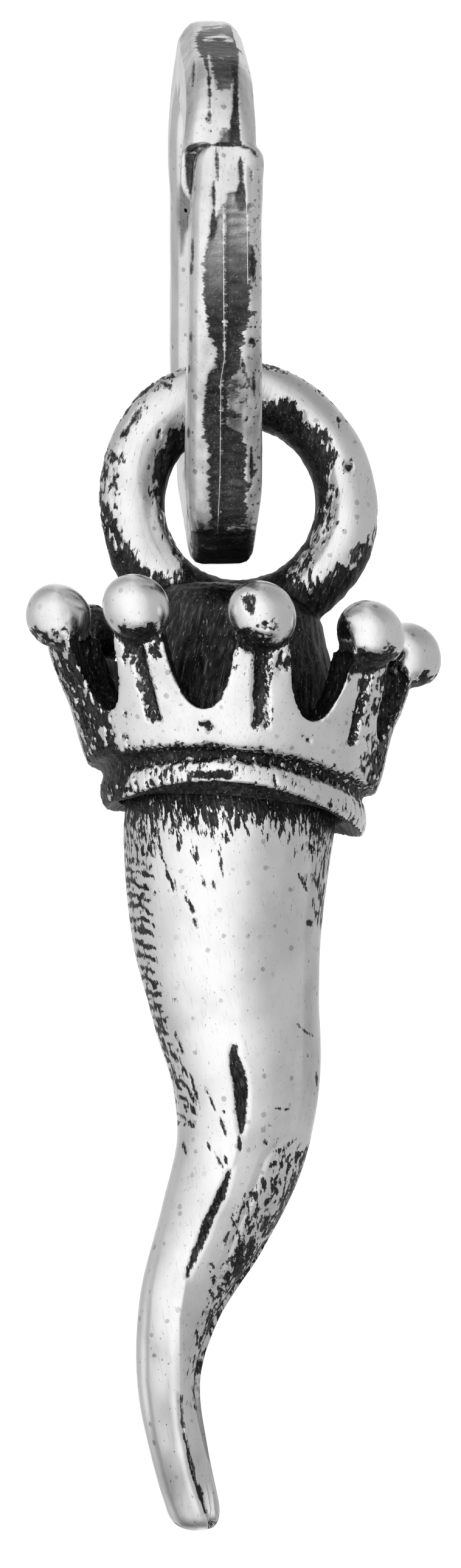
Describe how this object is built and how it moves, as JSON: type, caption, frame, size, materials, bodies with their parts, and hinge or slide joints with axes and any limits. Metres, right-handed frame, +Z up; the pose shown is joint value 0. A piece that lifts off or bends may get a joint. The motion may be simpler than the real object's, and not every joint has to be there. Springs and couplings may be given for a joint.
{
  "type": "cornicello horn pendant on a carrier ring",
  "caption": "Curved silver horn under a ball-tipped crown, hung by a round eye from a lapped oval carrier ring, free to swing.",
  "frame": {"origin": "the highest point inside the carrier ring, where the pendant hangs", "axes": "+Z up, along the length of the hanging pendant; -Y towards the viewer; +X to the right; the horn curves in the XZ plane"},
  "size_m": [0.0111, 0.0139, 0.0399],
  "materials": {
    "ring_silver": "bevelled silver wire, polished edges, dark uneven patina down the front",
    "eye_silver": "cast silver, polished rounds, blackened streaked foot",
    "crown_silver": "cast silver, bright balls and points, blackened grooves and inside",
    "horn_silver": "polished cast silver, blackened creases, pits and streaks"
  },
  "bodies": {
    "carrier": {"carrier_ring": "ring_silver"},
    "charm": {"hanging_eye": "eye_silver", "crown": "crown_silver", "horn": "horn_silver"}
  },
  "joints": [
    {"name": "eye_swing", "type": "hinge", "parent": "carrier", "child": "charm", "pos_m": [0.00072, 0.00145, -0.0077], "axis": [1, 0, 0], "range_deg": [-8, 55]}
  ]
}
